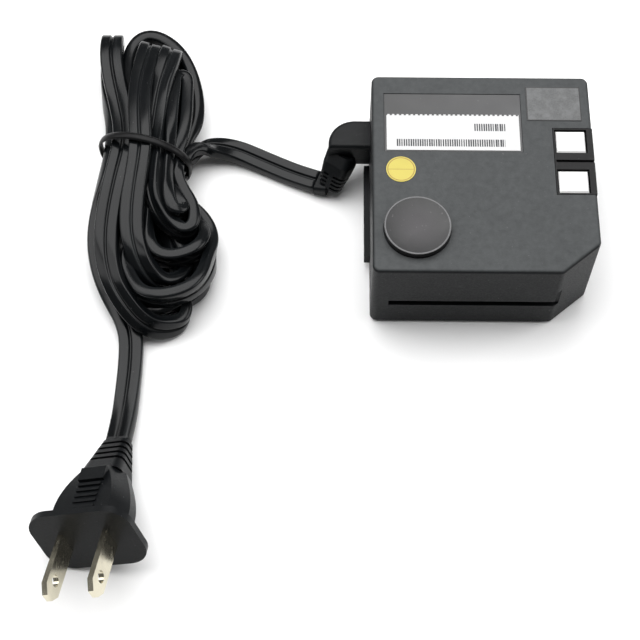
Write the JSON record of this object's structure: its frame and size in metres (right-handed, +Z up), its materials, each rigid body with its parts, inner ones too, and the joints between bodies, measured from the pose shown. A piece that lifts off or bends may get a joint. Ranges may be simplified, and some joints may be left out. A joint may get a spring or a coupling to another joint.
{
  "type": "power adapter",
  "caption": "Black plug-in power adapter brick with a cut-off corner, right-angle mains connector, tied flat cord and flat-blade mains plug.",
  "frame": {"origin": "on the floor under the middle of the case, its side ledge counted", "axes": "+Z up out of the label side, +Y towards the case's back wall away from the guide slot, +X towards the output side"},
  "size_m": [0.1478, 0.1788, 0.0315],
  "materials": {
    "case_plastic": "fine spark-eroded texture, dark grey-black",
    "foot_rubber": "smooth matt",
    "label_film": "semi-gloss dark grey film",
    "white_paper": "coated white paper",
    "yellow_paper": "coated yellow paper",
    "grey_film": "light grey textured film",
    "block_plastic": "smooth black moulding",
    "insert_plastic": "smooth white nylon",
    "contact_metal": "plain",
    "pin_metal": "nickel plated",
    "board_laminate": "green laminate",
    "capacitor_yellow": "boxed film capacitor",
    "part_plastic": "epoxy moulding",
    "fuse_plastic": "brown cap",
    "can_sleeve": "shrunk sleeve on an aluminium can",
    "disc_blue": "lacquered disc",
    "ferrite": "sintered ferrite",
    "bobbin_plastic": "moulded bobbin",
    "winding_copper": "enamelled copper wire under tape",
    "sink_aluminium": "mill finish sheet",
    "cord_plastic": "black flexible PVC",
    "plug_plastic": "black moulded PVC",
    "tie_plastic": "black coated tie",
    "blade_metal": "nickel plated brass"
  },
  "bodies": {
    "root": {"upper_case": "case_plastic", "lower_case": "case_plastic", "rubber_foot": "foot_rubber", "rating_label": "label_film", "bar_sticker": "white_paper", "round_sticker": "yellow_paper", "marking_patch": "grey_film", "output_frame": "block_plastic", "output_insert_1": "insert_plastic", "output_insert_2": "insert_plastic", "output_contact_1": "contact_metal", "output_contact_2": "contact_metal", "output_contact_3": "contact_metal", "inlet_housing": "part_plastic", "inlet_pin_1": "pin_metal", "inlet_pin_2": "pin_metal", "circuit_board": "board_laminate", "interference_capacitor": "capacitor_yellow", "bridge_rectifier": "part_plastic", "optocoupler": "part_plastic", "fuse": "fuse_plastic", "bulk_capacitor": "can_sleeve", "output_capacitor_1": "can_sleeve", "output_capacitor_2": "can_sleeve", "bridging_capacitor": "disc_blue", "choke_core": "ferrite", "choke_winding": "winding_copper", "transformer_core": "ferrite", "transformer_bobbin": "bobbin_plastic", "transformer_winding": "winding_copper", "primary_heat_sink": "sink_aluminium", "secondary_heat_sink": "sink_aluminium", "switching_transistor": "part_plastic", "output_rectifier": "part_plastic", "cord_connector": "plug_plastic", "contact_sleeve_1": "pin_metal", "contact_sleeve_2": "pin_metal", "cord_lead": "cord_plastic", "cord_hank": "cord_plastic", "cord_plug_run": "cord_plastic", "cord_tie": "tie_plastic", "plug_body": "plug_plastic", "plug_blade_1": "blade_metal", "plug_blade_2": "blade_metal"}
  },
  "joints": []
}
